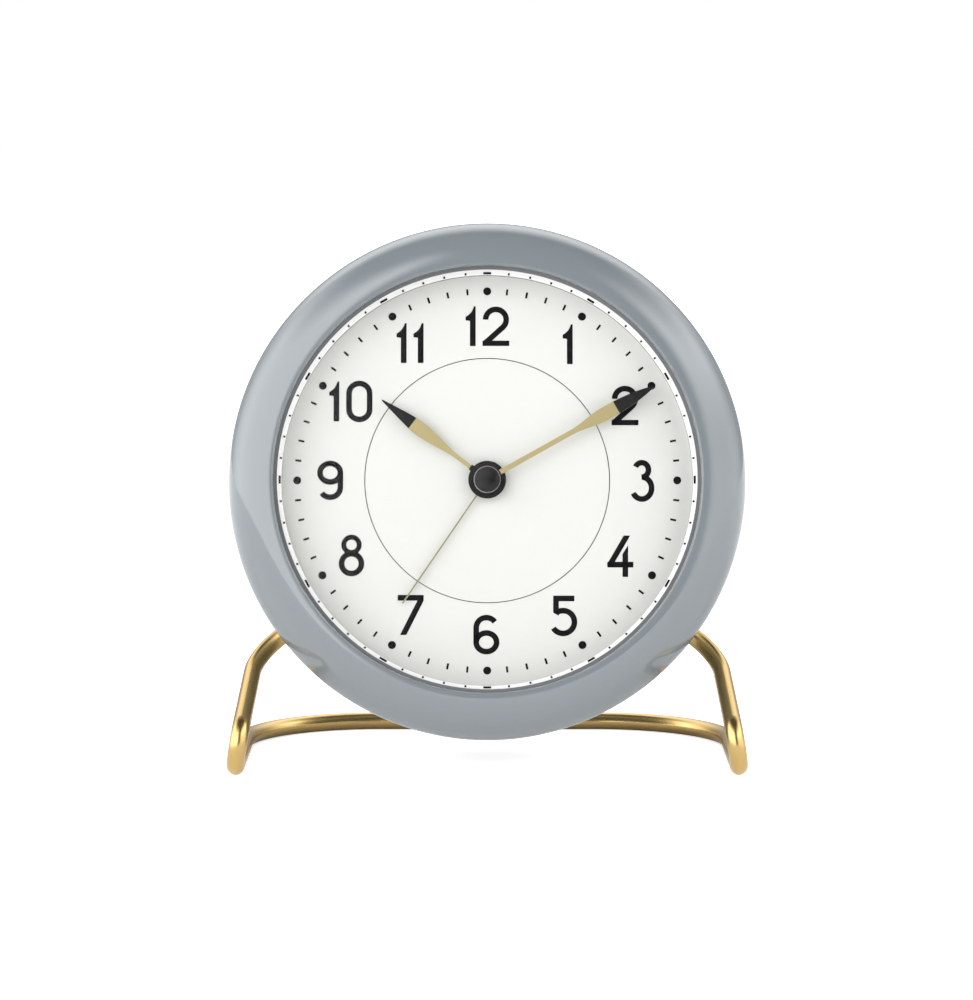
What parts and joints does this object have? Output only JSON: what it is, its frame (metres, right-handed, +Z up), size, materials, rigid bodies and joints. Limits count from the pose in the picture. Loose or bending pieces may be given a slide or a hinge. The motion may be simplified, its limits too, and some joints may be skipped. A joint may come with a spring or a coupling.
{
  "type": "table alarm clock",
  "caption": "Round battery alarm clock with a glossy rounded case, domed glass, white dial with plain numerals, tapered hands and a bent brass wire stand",
  "frame": {"origin": "on the table, under the middle of the clock's bounding box", "axes": "+Z up, the dial faces -Y and leans back, +X is to the right of the dial seen from the front"},
  "size_m": [0.11, 0.0714, 0.1151],
  "materials": {
    "case_grey": "glossy moulded ABS",
    "lens_glass": "clear polished glass",
    "gasket_rubber": "soft black rubber",
    "ring_white": "white moulded plastic",
    "dial_white": "satin white lacquer",
    "carrier_white": "white moulded plastic",
    "screw_steel": "zinc plated",
    "stand_brass": "satin brass, drawn wire",
    "hand_gold": "gold anodised, printed black",
    "hub_black": "semi-gloss black",
    "movement_black": "black moulded plastic",
    "wheel_white": "natural acetal",
    "arbor_steel": "turned steel",
    "winding_copper": "enamelled copper wire",
    "board_green": "solder mask",
    "contact_nickel": "nickel plated spring sheet",
    "cell_wrap": "shrink wrapped cell"
  },
  "bodies": {
    "case": {"bezel": "case_grey", "rear_shell": "case_grey", "lens": "lens_glass", "lens_gasket": "gasket_rubber", "dial_ring": "ring_white", "dial": "dial_white", "dial_carrier": "carrier_white", "carrier_screws": "screw_steel", "case_screws": "screw_steel", "stand_screws": "screw_steel", "movement_screws": "screw_steel", "rear_board_screws": "screw_steel", "stand": "stand_brass", "movement_housing": "movement_black", "movement_cover": "movement_black", "movement_bridge": "movement_black", "switch_body": "movement_black", "snooze_switch": "movement_black", "sounder": "movement_black", "control_chip": "movement_black", "stator": "arbor_steel", "coil_core": "arbor_steel", "quartz_crystal": "arbor_steel", "coil": "winding_copper", "circuit_board": "board_green", "rear_board": "board_green", "positive_contact": "contact_nickel", "negative_contact": "contact_nickel", "alarm_leaf": "contact_nickel", "battery_cell": "cell_wrap"},
    "minute_hand": {"minute_hand": "hand_gold", "hand_cap": "hub_black", "minute_arbor": "arbor_steel", "clutch_spring": "arbor_steel"},
    "hour_hand": {"hour_hand": "hand_gold", "hour_wheel": "wheel_white"},
    "alarm_hand": {"alarm_hand": "hand_gold", "alarm_wheel": "wheel_white"},
    "motion_wheel": {"motion_wheel": "wheel_white"},
    "time_knob": {"time_knob": "case_grey", "time_set_arbor": "wheel_white"},
    "alarm_knob": {"alarm_knob": "case_grey", "alarm_set_arbor": "wheel_white"},
    "third_wheel": {"third_wheel": "wheel_white"},
    "second_wheel": {"second_wheel": "wheel_white"},
    "centre_wheel": {"centre_wheel": "wheel_white"},
    "rotor": {"rotor": "arbor_steel"},
    "battery_door": {"battery_door": "case_grey"},
    "snooze_button": {"snooze_button": "case_grey"},
    "alarm_switch": {"alarm_switch": "case_grey"}
  },
  "joints": [
    {"name": "minute_hand_turn", "type": "hinge", "parent": "case", "child": "minute_hand", "pos_m": [0, -0.01575, 0.0609], "axis": [0, 0.9871, -0.1599], "continuous": true},
    {"name": "hour_hand_turn", "type": "hinge", "parent": "case", "child": "hour_hand", "pos_m": [0, -0.01575, 0.0609], "axis": [0, 0.9871, -0.1599], "continuous": true},
    {"name": "motion_wheel_turn", "type": "hinge", "parent": "case", "child": "motion_wheel", "pos_m": [0.0029, -0.01449, 0.06868], "axis": [0, 0.9871, -0.1599], "continuous": true},
    {"name": "time_knob_turn", "type": "hinge", "parent": "case", "child": "time_knob", "pos_m": [0.01123, -0.01466, 0.06761], "axis": [0, 0.9871, -0.1599], "continuous": true},
    {"name": "alarm_hand_turn", "type": "hinge", "parent": "case", "child": "alarm_hand", "pos_m": [0, -0.01575, 0.0609], "axis": [0, 0.9871, -0.1599], "continuous": true},
    {"name": "alarm_knob_turn", "type": "hinge", "parent": "case", "child": "alarm_knob", "pos_m": [-0.01123, -0.01466, 0.06761], "axis": [0, 0.9871, -0.1599], "continuous": true},
    {"name": "third_wheel_turn", "type": "hinge", "parent": "case", "child": "third_wheel", "pos_m": [-0.0045, -0.017, 0.05321], "axis": [0, 0.9871, -0.1599], "continuous": true},
    {"name": "second_wheel_turn", "type": "hinge", "parent": "case", "child": "second_wheel", "pos_m": [0.0022, -0.01718, 0.05204], "axis": [0, 0.9871, -0.1599], "continuous": true},
    {"name": "centre_wheel_turn", "type": "hinge", "parent": "case", "child": "centre_wheel", "pos_m": [0, -0.01575, 0.0609], "axis": [0, 0.9871, -0.1599], "continuous": true},
    {"name": "rotor_turn", "type": "hinge", "parent": "case", "child": "rotor", "pos_m": [0.00746, -0.01688, 0.05393], "axis": [0, 0.9871, -0.1599], "continuous": true},
    {"name": "battery_door_lift", "type": "slide", "parent": "case", "child": "battery_door", "axis": [0, 0.9871, -0.1599], "range_m": [0, 0.03]},
    {"name": "snooze_button_press", "type": "slide", "parent": "case", "child": "snooze_button", "axis": [0, -0.9871, 0.1599], "range_m": [0, 0.0012], "stiffness_N_per_m": 600, "springref_m": -0.0008},
    {"name": "alarm_switch_slide", "type": "slide", "parent": "case", "child": "alarm_switch", "axis": [1, 0, 0], "range_m": [0, 0.005]}
  ],
  "couplings": [
    {"joint": "motion_wheel_turn", "follows": "minute_hand_turn", "ratio": -0.33333},
    {"joint": "hour_hand_turn", "follows": "minute_hand_turn", "ratio": 0.083333},
    {"joint": "time_knob_turn", "follows": "minute_hand_turn", "ratio": 1},
    {"joint": "alarm_knob_turn", "follows": "alarm_hand_turn", "ratio": -4},
    {"joint": "centre_wheel_turn", "follows": "third_wheel_turn", "ratio": -0.125},
    {"joint": "second_wheel_turn", "follows": "third_wheel_turn", "ratio": -7.5},
    {"joint": "rotor_turn", "follows": "third_wheel_turn", "ratio": 45}
  ]
}
